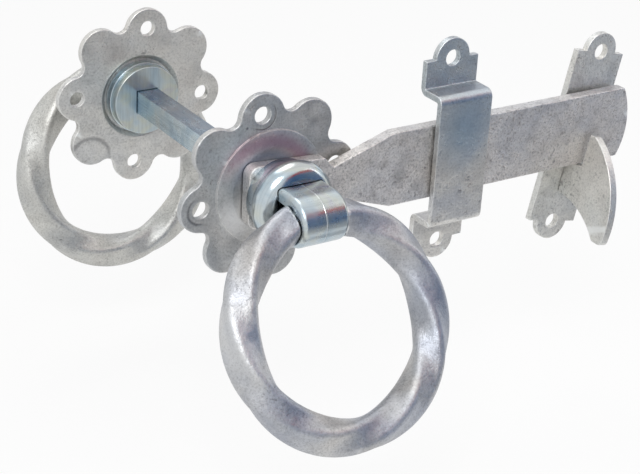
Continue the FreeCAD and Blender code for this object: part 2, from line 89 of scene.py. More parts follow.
# hot-dip galvanised steel: dipped in molten zinc, so dull grey in soft cloudy patches of warm and cool,
# with a sandy grain, pits and specks where the steel was rough, hairline scratches, paler edges (wear and
# painted highlight) and painted shade in hollows
def hotDipGalvanised(name, look, marksAndShade=(), stainsAndPaintedLight=()):
    material = bpy.data.materials.new(name)
    material.use_nodes = True
    tree = material.node_tree
    tree.nodes.clear()
    at = addNode(tree, "ShaderNodeTexCoord").outputs["Object"]
    cloud = addNode(tree, "ShaderNodeTexNoise", {
        "Vector": at, "Scale": perMm(look["cloudMm"]), "Detail": 5.0, "Roughness": 0.6, "Distortion": 0.5})
    base = addNode(tree, "ShaderNodeValToRGB", {"Fac": cloud.outputs["Fac"]}, stops=[
        (0.32, look["dark"]), (0.50, look["middle"]), (0.68, look["pale"])])
    drift = addNode(tree, "ShaderNodeTexNoise", {
        "Vector": at, "Scale": perMm(look["driftMm"]), "Detail": 2.0, "Roughness": 0.5})
    driftTone = addNode(tree, "ShaderNodeValToRGB", {"Fac": drift.outputs["Fac"]}, stops=[
        (0.36, look["cool"]), (0.50, look["middle"]), (0.64, look["warm"])])
    tinted = addNode(tree, "ShaderNodeMix", {
        0: look["drift"], 6: base.outputs["Color"], 7: driftTone.outputs["Color"]}, data_type="RGBA")
    colour = tinted.outputs[2]
    if "paintedUpperReflection" in look:  # painted reflection: bluer towards the top, broken up by the cloud pattern, (from mm, to mm, colour, amount)
        fromUp, toUp, paintedReflectionTone, amount = look["paintedUpperReflection"]
        height = addNode(tree, "ShaderNodeSeparateXYZ", {"Vector": at})
        fade = addNode(tree, "ShaderNodeMapRange", {
            "Value": height.outputs["Z"], "From Min": fromUp * mm, "From Max": toUp * mm,
            "To Min": amount, "To Max": 0.0}, interpolation_type="SMOOTHSTEP")
        broken = addNode(tree, "ShaderNodeMapRange", {
            "Value": cloud.outputs["Fac"], "From Min": 0.30, "From Max": 0.60,
            "To Min": 0.55, "To Max": 1.0})
        share = addNode(tree, "ShaderNodeMath", {
            0: fade.outputs["Result"], 1: broken.outputs["Result"]}, operation="MULTIPLY")
        colour = addNode(tree, "ShaderNodeMix", {
            0: share.outputs[0], 6: colour, 7: linear(paintedReflectionTone)}, data_type="RGBA").outputs[2]
    grain = addNode(tree, "ShaderNodeTexNoise", {  # drawn coarser than the real grain, to show
        "Vector": at, "Scale": perMm(look["grainMm"]), "Detail": 3.0, "Roughness": 0.7})
    grainTone = addNode(tree, "ShaderNodeValToRGB", {"Fac": grain.outputs["Fac"]}, stops=[
        (0.30, 0.40), (0.47, 0.82), (0.66, 1.0)])
    colour = addNode(tree, "ShaderNodeMix", {
        0: look["grain"], 6: colour, 7: grainTone.outputs["Color"]},
        data_type="RGBA", blend_type="MULTIPLY").outputs[2]
    patch = addNode(tree, "ShaderNodeTexNoise", {
        "Vector": at, "Scale": perMm(look["patchMm"]), "Detail": 3.0, "Roughness": 0.6, "Distortion": 0.8})
    pitPlaces = addNode(tree, "ShaderNodeMapRange", {
        "Value": patch.outputs["Fac"],
        "From Min": look["pitFrom"], "From Max": look["pitFrom"] + look["pitFade"]})
    pitDepth = None
    for pitMm, level in look["pits"]:  # ragged at their rims
        rag = addNode(tree, "ShaderNodeTexNoise", {
            "Vector": at, "Scale": perMm(pitMm), "Detail": 4.0, "Roughness": 0.6, "Distortion": 0.3})
        dots = addNode(tree, "ShaderNodeMapRange", {
            "Value": rag.outputs["Fac"], "From Min": level, "From Max": level + look["pitRag"]})
        placed = addNode(tree, "ShaderNodeMath", {
            0: dots.outputs["Result"], 1: pitPlaces.outputs["Result"]}, operation="MULTIPLY")
        pitDepth = placed.outputs[0] if pitDepth is None else addNode(
            tree, "ShaderNodeMath", {0: pitDepth, 1: placed.outputs[0]}, operation="MAXIMUM").outputs[0]
    pitShare = addNode(tree, "ShaderNodeMath", {0: pitDepth, 1: look["pitTone"]}, operation="MULTIPLY")
    colour = addNode(tree, "ShaderNodeMix", {
        0: pitShare.outputs[0], 6: colour, 7: linear(look["pitAndShade"])}, data_type="RGBA").outputs[2]
    slanted = addNode(tree, "ShaderNodeMapping", {
        "Vector": at, "Rotation": look["scratchTurn"], "Scale": look["scratchStretch"]})
    hair = addNode(tree, "ShaderNodeTexNoise", {
        "Vector": slanted.outputs["Vector"], "Scale": perMm(look["scratchMm"]), "Detail": 1.0})
    hairLine = addNode(tree, "ShaderNodeValToRGB", {"Fac": hair.outputs["Fac"]}, stops=[
        (0.600, 0.0), (0.612, 1.0), (0.624, 0.0)])
    scratched = addNode(tree, "ShaderNodeMath", {
        0: hairLine.outputs["Color"], 1: look["scratch"]}, operation="MULTIPLY")
    colour = addNode(tree, "ShaderNodeMix", {
        0: scratched.outputs[0], 6: colour, 7: linear(look["edge"])}, data_type="RGBA").outputs[2]
    markDepth = None
    for spot in (*marksAndShade, *stainsAndPaintedLight):  # a ring or spot about a point, some real stains, some painted shade, reflection or light; only the marks are pressed in
        across, up, radius, width, lean, strength, tone = spot
        offset = addNode(tree, "ShaderNodeVectorMath", {
            0: at, 1: (across * mm, 0.0, up * mm)}, operation="SUBTRACT")
        flat = addNode(tree, "ShaderNodeVectorMath", {
            0: offset.outputs["Vector"], 1: (1.0, 0.0, 1.0)}, operation="MULTIPLY")
        distance = addNode(tree, "ShaderNodeVectorMath", {0: flat.outputs["Vector"]}, operation="LENGTH")
        away = addNode(tree, "ShaderNodeMath", {
            0: distance.outputs["Value"], 1: radius * mm}, operation="SUBTRACT")
        near = addNode(tree, "ShaderNodeMath", {0: away.outputs[0]}, operation="ABSOLUTE")
        mask = addNode(tree, "ShaderNodeMapRange", {
            "Value": near.outputs[0], "From Min": 0.0, "From Max": width * mm,
            "To Min": strength, "To Max": 0.0}, interpolation_type="SMOOTHSTEP").outputs["Result"]
        if lean is not None:  # fades out away from one side
            side = math.radians(lean)
            course = addNode(tree, "ShaderNodeVectorMath", {0: flat.outputs["Vector"]}, operation="NORMALIZE")
            facing = addNode(tree, "ShaderNodeVectorMath", {
                0: course.outputs["Vector"], 1: (math.cos(side), 0.0, math.sin(side))}, operation="DOT_PRODUCT")
            part = addNode(tree, "ShaderNodeMapRange", {
                "Value": facing.outputs["Value"], "From Min": -0.1, "From Max": 0.6})
            mask = addNode(tree, "ShaderNodeMath", {
                0: mask, 1: part.outputs["Result"]}, operation="MULTIPLY").outputs[0]
        colour = addNode(tree, "ShaderNodeMix", {
            0: mask, 6: colour, 7: linear(tone)}, data_type="RGBA").outputs[2]
        if spot in marksAndShade:
            markDepth = mask if markDepth is None else addNode(
                tree, "ShaderNodeMath", {0: markDepth, 1: mask}, operation="MAXIMUM").outputs[0]
    convex = addNode(tree, "ShaderNodeNewGeometry").outputs["Pointiness"]  # 0.5 on a flat face
    # paler on convex edges in the edge colour: partly wear, partly a painted highlight
    wornAndHighlit = addNode(tree, "ShaderNodeMapRange", {
        "Value": convex, "From Min": 0.515, "From Max": 0.60, "To Min": 0.0, "To Max": look["edgeWearAndHighlight"]})
    colour = addNode(tree, "ShaderNodeMix", {
        0: wornAndHighlit.outputs["Result"], 6: colour, 7: linear(look["edge"])}, data_type="RGBA").outputs[2]
    # darker in concave creases and hollows, in the pit colour: painted shade
    paintedHollowShade = addNode(tree, "ShaderNodeMapRange", {
        "Value": convex, "From Min": 0.40, "From Max": 0.485, "To Min": look["paintedHollowShade"], "To Max": 0.0})
    colour = addNode(tree, "ShaderNodeMix", {
        0: paintedHollowShade.outputs["Result"], 6: colour, 7: linear(look["pitAndShade"])}, data_type="RGBA").outputs[2]
    rough = addNode(tree, "ShaderNodeMapRange", {
        "Value": patch.outputs["Fac"], "From Min": 0.3, "From Max": 0.7,
        "To Min": look["rough"][0], "To Max": look["rough"][1]})
    lumps = addNode(tree, "ShaderNodeTexNoise", {
        "Vector": at, "Scale": perMm(look["lumpMm"]), "Detail": 2.0, "Roughness": 0.5})
    bump = addNode(tree, "ShaderNodeBump", {
        "Height": lumps.outputs["Fac"], "Strength": look["lump"], "Distance": look["lumpDeepMm"] * mm})
    bump = addNode(tree, "ShaderNodeBump", {
        "Height": grain.outputs["Fac"], "Strength": look["grit"], "Distance": look["gritDeepMm"] * mm,
        "Normal": bump.outputs["Normal"]})
    bump = addNode(tree, "ShaderNodeBump", {
        "Height": pitDepth, "Strength": look["pitBump"], "Distance": look["pitDeepMm"] * mm,
        "Normal": bump.outputs["Normal"]}, invert=True)
    if markDepth is not None:
        bump = addNode(tree, "ShaderNodeBump", {
            "Height": markDepth, "Strength": look["markBump"], "Distance": look["markDeepMm"] * mm,
            "Normal": bump.outputs["Normal"]}, invert=True)
    shader = addNode(tree, "ShaderNodeBsdfPrincipled", {
        "Base Color": colour, "Roughness": rough.outputs["Result"], "Normal": bump.outputs["Normal"],
        "Metallic": look["metal"]})
    addNode(tree, "ShaderNodeOutputMaterial", {"Surface": shader.outputs["BSDF"]})
    return material


# bright zinc plate: electroplated and passivated, so mirror-like with a faint blue and straw bloom,
# fine lines from the lathe or the drawing die, and faint smudges
def brightZinc(name, look):
    material = bpy.data.materials.new(name)
    material.use_nodes = True
    tree = material.node_tree
    tree.nodes.clear()
    at = addNode(tree, "ShaderNodeTexCoord").outputs["Object"]
    place = addNode(tree, "ShaderNodeSeparateXYZ", {"Vector": at})
    bloom = addNode(tree, "ShaderNodeTexNoise", {
        "Vector": at, "Scale": perMm(look["bloomMm"]), "Detail": 2.0, "Roughness": 0.5, "Distortion": 0.8})
    base = addNode(tree, "ShaderNodeValToRGB", {"Fac": bloom.outputs["Fac"]}, stops=look["bloom"])
    if look["lines"] == "turned":  # rings round the spindle's axis
        flatPlace = addNode(tree, "ShaderNodeVectorMath", {0: at, 1: (1.0, 0.0, 1.0)}, operation="MULTIPLY")
        radius = addNode(tree, "ShaderNodeVectorMath", {0: flatPlace.outputs["Vector"]}, operation="LENGTH")
        course = addNode(tree, "ShaderNodeCombineXYZ", {
            "X": radius.outputs["Value"], "Y": place.outputs["Y"]}).outputs[0]
    else:  # drawn along one axis
        course = addNode(tree, "ShaderNodeMapping", {"Vector": at, "Scale": look["lines"]}).outputs["Vector"]
    lines = addNode(tree, "ShaderNodeTexNoise", {  # drawn coarser than the real lines, to show
        "Vector": course, "Scale": perMm(look["lineMm"]), "Detail": 3.0, "Roughness": 0.7})
    lineTone = addNode(tree, "ShaderNodeValToRGB", {"Fac": lines.outputs["Fac"]}, stops=[
        (0.35, 0.62), (0.60, 1.0)])
    colour = addNode(tree, "ShaderNodeMix", {
        0: look["lineTone"], 6: base.outputs["Color"], 7: lineTone.outputs["Color"]},
        data_type="RGBA", blend_type="MULTIPLY").outputs[2]
    smudge = addNode(tree, "ShaderNodeTexNoise", {
        "Vector": at, "Scale": perMm(look["smudgeMm"]), "Detail": 4.0, "Roughness": 0.65})
    rough = addNode(tree, "ShaderNodeMapRange", {
        "Value": smudge.outputs["Fac"], "From Min": 0.3, "From Max": 0.7,
        "To Min": look["rough"][0], "To Max": look["rough"][1]})
    bump = addNode(tree, "ShaderNodeBump", {
        "Height": lines.outputs["Fac"], "Strength": look["lineBump"], "Distance": look["lineDeepMm"] * mm})
    wave = addNode(tree, "ShaderNodeTexNoise", {
        "Vector": at, "Scale": perMm(look["waveMm"]), "Detail": 1.0})
    bump = addNode(tree, "ShaderNodeBump", {
        "Height": wave.outputs["Fac"], "Strength": look["wave"], "Distance": look["waveDeepMm"] * mm,
        "Normal": bump.outputs["Normal"]})
    if "seam" in look:  # the fine line that the strap's bending die leaves round its middle
        seam = look["seam"]
        aside = addNode(tree, "ShaderNodeMath", {0: place.outputs["X"]}, operation="ABSOLUTE")
        raised = addNode(tree, "ShaderNodeMapRange", {
            "Value": aside.outputs[0], "From Min": seam["halfMm"] * seam["core"] * mm,
            "From Max": seam["halfMm"] * mm, "To Min": 1.0, "To Max": 0.0})
        seamTone = addNode(tree, "ShaderNodeMath", {
            0: raised.outputs["Result"], 1: seam["share"]}, operation="MULTIPLY")
        colour = addNode(tree, "ShaderNodeMix", {
            0: seamTone.outputs[0], 6: colour, 7: linear(seam["tone"])}, data_type="RGBA").outputs[2]
        bump = addNode(tree, "ShaderNodeBump", {
            "Height": raised.outputs["Result"], "Strength": seam["bump"], "Distance": seam["deepMm"] * mm,
            "Normal": bump.outputs["Normal"]})
    shader = addNode(tree, "ShaderNodeBsdfPrincipled", {
        "Base Color": colour, "Roughness": rough.outputs["Result"], "Normal": bump.outputs["Normal"],
        "Metallic": 1.0})
    addNode(tree, "ShaderNodeOutputMaterial", {"Surface": shader.outputs["BSDF"]})
    return material


behaviour = frame["record"]["behaviour"]
bodyOf = {node: body for body, nodes in behaviour["bodies"].items() for node in nodes}


def finishPiece(piece, material, node):
    piece.data.materials.clear()
    piece.data.materials.append(material)
    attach(piece, bodyOf[node])
    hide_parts(node)
    print("finished", node, len(piece.data.polygons), "faces")


hammering = {  # cells and dents in metres, least share of a face's normal along Y, mean and spread of depth
    "cell": 1.7 * mm, "reach": 9.0 * mm, "snap": 1e-5, "level": 0.9, "mean": 0.3, "spread": 0.5}


def hammer(grid, depth):  # square cells on the faces that look along Y, then shallow dents, inward only
    for along in (Vector((1.0, 0.0, 0.0)), Vector((0.0, 0.0, 1.0))):
        spread = [v.co.dot(along) for v in grid.verts]
        start, count = min(spread), int((max(spread) - min(spread)) / hammering["cell"])
        for turn in range(1, count + 1):
            broad = [f for f in grid.faces if abs(f.normal.y) > hammering["level"]]
            rims = dict.fromkeys(e for f in broad for e in f.edges)  # each once, in the faces' order
            ends = dict.fromkeys(v for f in broad for v in f.verts)
            bmesh.ops.bisect_plane(grid, geom=[*broad, *rims, *ends], dist=hammering["snap"],
                                   plane_co=along * (start + turn * hammering["cell"]), plane_no=along)
    grid.normal_update()
    for vert, facing in [(v, v.normal.copy()) for v in grid.verts]:
        swell = hammering["mean"] + hammering["spread"] * noise.noise(vert.co / hammering["reach"])
        vert.co -= facing * depth * min(1.0, max(0.0, swell))


easing = {  # steps round an edge, angles in degrees, merged distances in metres
    "steps": 3, "sharp": 26.0, "flat": 0.4, "smooth": 40.0, "merge": 1e-6, "mergeEased": 2e-6, "evenWeight": 60}


# the same form with its edges eased, and dents where they are asked for
def easeEdges(mesh, name, edge, rim=None, sharp=easing["sharp"], flatten=True, dents=0.0):
    def fromAxis(e):  # how far an edge is from the spindle's axis
        middle = (e.verts[0].co + e.verts[1].co) / 2
        return math.hypot(middle.x, middle.z)

    grid = bmesh.new()
    grid.from_mesh(mesh)
    bmesh.ops.remove_doubles(grid, verts=grid.verts, dist=easing["merge"])
    if flatten:  # one face for each flat side
        bmesh.ops.dissolve_limit(grid, angle_limit=math.radians(easing["flat"]),
                                 verts=grid.verts, edges=grid.edges)
    bands = [(0.0, math.inf, edge)]
    if rim:  # rounder beyond a radius
        bands = [(rim[0], math.inf, rim[1]), (0.0, rim[0], edge)]
    for inner, outer, offset in bands:
        edges = [e for e in grid.edges if len(e.link_faces) == 2 and inner <= fromAxis(e) < outer
                 and e.calc_face_angle() > math.radians(sharp)]
        bmesh.ops.bevel(grid, geom=edges, offset=offset, offset_type="OFFSET", segments=easing["steps"],
                        profile=0.5, affect="EDGES", clamp_overlap=True)
    bmesh.ops.remove_doubles(grid, verts=grid.verts, dist=easing["mergeEased"])
    bmesh.ops.dissolve_degenerate(grid, dist=easing["merge"], edges=grid.edges)
    if dents:
        hammer(grid, dents)
    bmesh.ops.triangulate(grid, faces=[f for f in grid.faces if len(f.verts) > 4])
    eased = bpy.data.meshes.new(name)
    grid.to_mesh(eased)
    grid.free()
    eased.shade_smooth()
    eased.set_sharp_from_angle(angle=math.radians(easing["smooth"]))
    piece = bpy.data.objects.new(name, eased)
    scene.collection.objects.link(piece)
    weighted = piece.modifiers.new("evenFaces", "WEIGHTED_NORMAL")
    weighted.keep_sharp = True
    weighted.weight = easing["evenWeight"]
    return piece


galvanisedLook = {
    "dark": "#B0B1B4", "middle": "#C6C7C8", "pale": "#DADADA", "cool": "#B4BBC8", "warm": "#D0CBC5",
    "pitAndShade": "#525257", "pitTone": 0.9, "pitFrom": 0.46, "edge": "#F0F2F1", "edgeWearAndHighlight": 0.85, "paintedHollowShade": 0.5,
    "cloudMm": 10.0, "driftMm": 24.0, "drift": 0.45, "grainMm": 1.0, "grain": 0.6, "rough": (0.34, 0.54),
    "patchMm": 11.0, "pitFade": 0.12, "pitRag": 0.06, "pitBump": 0.55, "pitDeepMm": 0.25,
    "pits": ((1.3, 0.575), (4.2, 0.62)),  # size in mm and level: fine specks, then fewer large pits
    "scratch": 0.14, "scratchMm": 2.6, "scratchTurn": (0.5, 0.9, 0.3), "scratchStretch": (1.0, 1.0, 0.05),
    "lump": 0.22, "lumpMm": 6.0, "lumpDeepMm": 1.2, "grit": 0.9, "gritDeepMm": 0.15,
    "markBump": 0.7, "markDeepMm": 0.4, "metal": 0.92}
zincLook = {
    "bloom": [(0.32, "#A9BBC6"), (0.50, "#BFCAD0"), (0.64, "#C8CDC8"), (0.78, "#B9BBC8")], "bloomMm": 12.0,
    "lines": "turned", "lineMm": 0.9, "lineTone": 0.35, "lineBump": 0.12, "lineDeepMm": 0.06,
    "wave": 0.15, "waveMm": 8.0, "waveDeepMm": 0.6, "smudgeMm": 5.0, "rough": (0.16, 0.26)}

# roses: pressed plates in a darker grey, with stronger painted shade in their hollows and fainter pale edges
roseLook = {
    **galvanisedLook, "dark": "#A3A4A5", "middle": "#C0C1C1", "pale": "#D6D7D6", "cool": "#AEB4BA",
    "rough": (0.34, 0.52), "pitTone": 0.45, "pitFrom": 0.52, "paintedHollowShade": 0.7, "edgeWearAndHighlight": 0.5}
# marks and stains, several of them painted light: across, up, radius, width in mm, side that shows in degrees
# or None for all, strength, tone
# dark crescents beside the two holes: painted shade of countersinks that only the bump presses in; then a dark
# dimple and a dark dot
frontMarksAndShade = [
    (-4.2, 30.7, 5.9, 0.5, -40.0, 0.75, "#55555A"), (-30.7, -4.2, 5.6, 1.0, 200.0, 0.6, "#55555A"),
    (19.0, 24.6, 0.0, 3.4, None, 0.35, "#55555A"), (-11.0, 26.5, 0.0, 0.9, None, 0.8, "#3E3E52")]
frontPaintedReflectionAndLight = [  # painted reflection: reddish and bluish bands on the dish, then a pale patch of painted light
    (-3.0, 0.0, 20.0, 6.0, 70.0, 0.7, "#A37C8A"), (-3.0, 0.0, 14.5, 3.5, 80.0, 0.6, "#7C86A0"),
    (-16.0, -9.0, 0.0, 12.0, None, 0.6, "#EDEEEF")]
# a dark arc on the lower-left lobe, pressed in by bump: painted shade along a step
rearMarksAndShade = [(-25.0, -25.5, 9.5, 1.6, 75.0, 0.5, "#66666A")]
frontRoseSteel = hotDipGalvanised("galvanised_front_rose", roseLook, frontMarksAndShade, frontPaintedReflectionAndLight)
rearRoseSteel = hotDipGalvanised("galvanised_rear_rose", {
    **galvanisedLook, "dark": "#C2C1BE", "middle": "#DAD9D5", "pale": "#E8E7E3", "cool": "#CCCED0",
    "pitTone": 0.45, "pitFrom": 0.50, "paintedHollowShade": 0.7}, rearMarksAndShade)
barSteel = hotDipGalvanised("galvanised_flat_bar", {
    **galvanisedLook, "dark": "#B9B6B5", "middle": "#E2DFDD", "pale": "#F0EEEC", "cool": "#CFD1D6",
    "warm": "#E4DFD9", "cloudMm": 8.0, "rough": (0.40, 0.58), "pitFrom": 0.42, "pitTone": 0.45,
    "grain": 0.9, "grit": 1.2, "lump": 0.4}, stainsAndPaintedLight=[
        (57.0, -4.0, 0.0, 6.0, None, 0.35, "#6A6866"), (66.0, -9.0, 0.0, 4.5, None, 0.3, "#6A6866"),
        (50.0, 4.0, 0.0, 3.0, None, 0.3, "#6A6866"), (152.0, 4.0, 0.0, 5.0, None, 0.25, "#6A6866"),
        (163.0, -3.0, 0.0, 6.0, None, 0.25, "#6A6866"), (171.0, -8.0, 0.0, 4.0, None, 0.3, "#6A6866")])
# staple: painted reflection, bluer towards the top, and a painted bluish reflection patch on its front
stapleSteel = hotDipGalvanised("galvanised_bent_strip", {
    **galvanisedLook, "dark": "#C2C1BF", "middle": "#D8D7D4", "pale": "#E6E5E2", "warm": "#DEDAD4",
    "paintedUpperReflection": (30.0, 2.0, "#A9BBC8", 0.6), "rough": (0.30, 0.46), "pitFrom": 0.46, "pitTone": 0.5},
    stainsAndPaintedLight=[(86.4, 12.0, 0.0, 22.0, None, 0.65, "#86A2B8")])
catchSteel = hotDipGalvanised("galvanised_catch", {
    **galvanisedLook, "dark": "#C8C8C5", "middle": "#DFDFDB", "pale": "#EDEDE9", "cool": "#CDD0D4",
    "warm": "#E0DCD6", "pitFrom": 0.46, "pitTone": 0.5})
ringLook = {
    **galvanisedLook, "dark": "#A6A8AC", "middle": "#BFC0C3", "pale": "#D4D5D6", "cool": "#A4ACBE",
    "pitFrom": 0.58, "pitTone": 0.6, "cloudMm": 13.0, "rough": (0.36, 0.54),
    "grain": 0.7, "grainMm": 0.8, "lump": 0.4}
# front ring: painted bluish shade on one side, and a pale patch of painted light on the other
frontRingSteel = hotDipGalvanised("galvanised_twisted_bar", ringLook, stainsAndPaintedLight=[
    (42.0, -34.0, 0.0, 34.0, None, 0.4, "#8C97AA"), (-46.0, -30.0, 0.0, 26.0, None, 0.35, "#E6E8E9")])
rearRingSteel = hotDipGalvanised("galvanised_twisted_bar_pale", {
    **ringLook, "dark": "#B4B4B1", "middle": "#CBCBC7", "pale": "#DCDCD8", "cool": "#BDBFC0",
    "warm": "#CFCCC6"})
turnedZinc = brightZinc("bright_zinc_turned", zincLook)
washerZinc = brightZinc("bright_zinc_brushed", {
    **zincLook, "lines": (1.0, 1.0, 0.05), "lineTone": 0.45, "lineBump": 0.25, "rough": (0.30, 0.42),
    "bloom": [(0.30, "#A9BCC8"), (0.46, "#C0CCD0"), (0.58, "#CACFC6"), (0.72, "#B9BAC6")]})
strapZinc = brightZinc("bright_zinc_strap", {
    **zincLook, "lines": (0.05, 1.0, 1.0), "rough": (0.24, 0.34),
    "seam": {"halfMm": 0.3, "core": 0.4, "share": 0.4, "tone": "#F2F5F6", "bump": 0.6, "deepMm": 0.2}})
spindleZinc = brightZinc("bright_zinc_drawn", {
    **zincLook, "lines": (1.0, 0.02, 1.0), "lineTone": 0.55, "lineBump": 0.35, "rough": (0.18, 0.32),
    "bloom": [(0.30, "#A3B6C4"), (0.50, "#BDCDD6"), (0.70, "#C6CFD2")]})
print("finishes made")

roseRim = (25.5 * mm, 0.8 * mm)  # past this radius, the lobes and screw holes are eased by this much
pressed = {  # solid: eased edge in mm, rounder rim, depth of dents in mm, finish
    "front_rose": (0.3, roseRim, 0.28, frontRoseSteel), "rear_rose": (0.3, roseRim, 0.28, rearRoseSteel),
    "latch_bar": (0.6, None, 0.24, barSteel), "guide_staple": (0.5, None, 0.18, stapleSteel),
    "catch_plate": (0.5, None, 0.18, catchSteel), "catch_hook": (0.5, None, 0.0, catchSteel)}
plated = {  # solid: eased edge in mm, finish
    "front_bush": (0.3, turnedZinc), "rear_bush": (0.3, turnedZinc),
    "front_retaining_washer": (0.4, washerZinc), "rear_retaining_washer": (0.4, washerZinc),
    "front_collar": (0.4, turnedZinc), "rear_collar": (0.4, turnedZinc),
    "front_eye": (0.4, strapZinc), "rear_eye": (0.4, strapZinc), "spindle": (0.5, spindleZinc)}
for node, (edge, rim, dents, finish) in pressed.items():
    piece = easeEdges(frame["nodes"][node].data, node + "_piece", edge * mm, rim, dents=dents * mm)
    finishPiece(piece, finish, node)
for node, (edge, finish) in plated.items():
    piece = easeEdges(frame["nodes"][node].data, node + "_piece", edge * mm)
    finishPiece(piece, finish, node)
for node in ("front_eye_rivet", "rear_eye_rivet"):  # hidden in the collars
    frame["nodes"][node].data.materials.clear()
    frame["nodes"][node].data.materials.append(turnedZinc)


# rings: a square bar that twists as it goes round, opened at the eye, with a round pin across the gap
ringShape = {  # mm
    "Radius": 42.0, "Side": 13.2, "Corner": 3.5, "Shoulder": 10.9, "Pin": 4.9, "Root": 0.9, "Dents": 0.22}
ringTwist = {"Turns": 1.85, "Phase": 13.0, "Seed": 4.0}
ringSteps = {"round": 361, "section": 56, "corner": 8, "pin": 64}
ringDress = {"dentMm": 8.0, "edge": 0.6, "sharp": 48.0}  # reach of dents, eased edge in mm, least angle eased
ringsAtRest = {  # swing and facing in degrees, finish
    "front_ring": (-30.0, 0.0, frontRingSteel), "rear_ring": (8.0, 180.0, rearRingSteel)}


def twistedRing():
    tree = bpy.data.node_groups.new("twisted_ring", "GeometryNodeTree")
    for name in (*ringShape, *ringTwist):
        tree.interface.new_socket(name, in_out="INPUT", socket_type="NodeSocketFloat")
    for name in ("Turn", "Place"):
        tree.interface.new_socket(name, in_out="INPUT", socket_type="NodeSocketVector")
    tree.interface.new_socket("Finish", in_out="INPUT", socket_type="NodeSocketMaterial")
    tree.interface.new_socket("Geometry", in_out="OUTPUT", socket_type="NodeSocketGeometry")
    given = addNode(tree, "NodeGroupInput").outputs
    circle = addNode(tree, "GeometryNodeCurveArc", {
        "Resolution": ringSteps["round"], "Radius": given["Radius"], "Start Angle": math.radians(90),
        "Sweep Angle": math.radians(360)}, mode="RADIUS")
    upright = addNode(tree, "GeometryNodeSetCurveNormal", {"Curve": circle.outputs["Curve"]}, mode="Z_UP")
    along = addNode(tree, "GeometryNodeSplineParameter").outputs["Factor"]
    turned = addNode(tree, "ShaderNodeMath", {0: along, 1: given["Turns"]}, operation="MULTIPLY")
    lean = addNode(tree, "ShaderNodeMath", {
        0: turned.outputs[0], 1: -360.0, 2: given["Phase"]}, operation="MULTIPLY_ADD")
    tilt = addNode(tree, "ShaderNodeMath", {0: lean.outputs[0]}, operation="RADIANS")
    twisted = addNode(tree, "GeometryNodeSetCurveTilt", {
        "Curve": upright.outputs["Curve"], "Tilt": tilt.outputs[0]})
    square = addNode(tree, "GeometryNodeCurvePrimitiveQuadrilateral", {
        "Width": given["Side"], "Height": given["Side"]}, mode="RECTANGLE")
    onCorner = addNode(tree, "GeometryNodeTransform", {
        "Geometry": square.outputs["Curve"], "Rotation": (0.0, 0.0, math.radians(45))})
    softened = addNode(tree, "GeometryNodeFilletCurve", {
        "Curve": onCorner.outputs["Geometry"], "Radius": given["Corner"], "Count": ringSteps["corner"]},
        mode="POLY")
    section = addNode(tree, "GeometryNodeResampleCurve", {
        "Curve": softened.outputs["Curve"], "Count": ringSteps["section"]}, mode="COUNT")
    bar = addNode(tree, "GeometryNodeCurveToMesh", {
        "Curve": twisted.outputs["Curve"], "Profile Curve": section.outputs["Curve"]})
    hammered = addNode(tree, "ShaderNodeTexNoise", {
        "W": given["Seed"], "Scale": perMm(ringDress["dentMm"]), "Detail": 2.0, "Roughness": 0.5},
        noise_dimensions="4D")
    sunk = addNode(tree, "ShaderNodeMath", {
        0: hammered.outputs["Fac"], 1: given["Dents"]}, operation="MULTIPLY")
    inward = addNode(tree, "ShaderNodeMath", {0: sunk.outputs[0], 1: -1.0}, operation="MULTIPLY")
    offset = addNode(tree, "ShaderNodeVectorMath", {
        0: addNode(tree, "GeometryNodeInputNormal").outputs["Normal"], "Scale": inward.outputs[0]},
        operation="SCALE")
    dented = addNode(tree, "GeometryNodeSetPosition", {
        "Geometry": bar.outputs["Mesh"], "Offset": offset.outputs["Vector"]})
    atEye = addNode(tree, "ShaderNodeCombineXYZ", {"Y": given["Radius"]}).outputs["Vector"]
    gapWidth = addNode(tree, "ShaderNodeMath", {0: given["Shoulder"], 1: 2.0}, operation="MULTIPLY")
    gapDepth = addNode(tree, "ShaderNodeMath", {0: given["Side"], 1: 2.0}, operation="MULTIPLY")
    gapSize = addNode(tree, "ShaderNodeCombineXYZ", {
        "X": gapWidth.outputs[0], "Y": gapDepth.outputs[0], "Z": gapDepth.outputs[0]})
    block = addNode(tree, "GeometryNodeMeshCube", {"Size": gapSize.outputs["Vector"]})
    gap = addNode(tree, "GeometryNodeTransform", {"Geometry": block.outputs["Mesh"], "Translation": atEye})
    opened = addNode(tree, "GeometryNodeMeshBoolean", {
        "Mesh 1": dented.outputs["Geometry"], "Mesh 2": gap.outputs["Geometry"]},
        operation="DIFFERENCE", solver="EXACT")
    pinLength = addNode(tree, "ShaderNodeMath", {
        0: given["Root"], 1: 2.0, 2: gapWidth.outputs[0]}, operation="MULTIPLY_ADD")
    rod = addNode(tree, "GeometryNodeMeshCylinder", {
        "Vertices": ringSteps["pin"], "Radius": given["Pin"], "Depth": pinLength.outputs[0]})
    pin = addNode(tree, "GeometryNodeTransform", {
        "Geometry": rod.outputs["Mesh"], "Rotation": (0.0, math.radians(90), 0.0), "Translation": atEye})
    both = addNode(tree, "GeometryNodeMeshBoolean", operation="UNION", solver="EXACT")
    tree.links.new(opened.outputs["Mesh"], both.inputs["Mesh 2"])
    tree.links.new(pin.outputs["Geometry"], both.inputs["Mesh 2"])
    hangDown = addNode(tree, "ShaderNodeMath", {0: given["Radius"], 1: -1.0}, operation="MULTIPLY")
    fromEye = addNode(tree, "ShaderNodeCombineXYZ", {"Z": hangDown.outputs[0]})
    hung = addNode(tree, "GeometryNodeTransform", {
        "Geometry": both.outputs["Mesh"], "Rotation": (math.radians(90), 0.0, 0.0),
        "Translation": fromEye.outputs["Vector"]})
    placed = addNode(tree, "GeometryNodeTransform", {
        "Geometry": hung.outputs["Geometry"], "Rotation": given["Turn"], "Translation": given["Place"]})
    real = addNode(tree, "GeometryNodeRealizeInstances", {"Geometry": placed.outputs["Geometry"]})
    coated = addNode(tree, "GeometryNodeSetMaterial", {
        "Geometry": real.outputs["Geometry"], "Material": given["Finish"]})
    addNode(tree, "NodeGroupOutput", {"Geometry": coated.outputs["Geometry"]})
    return tree


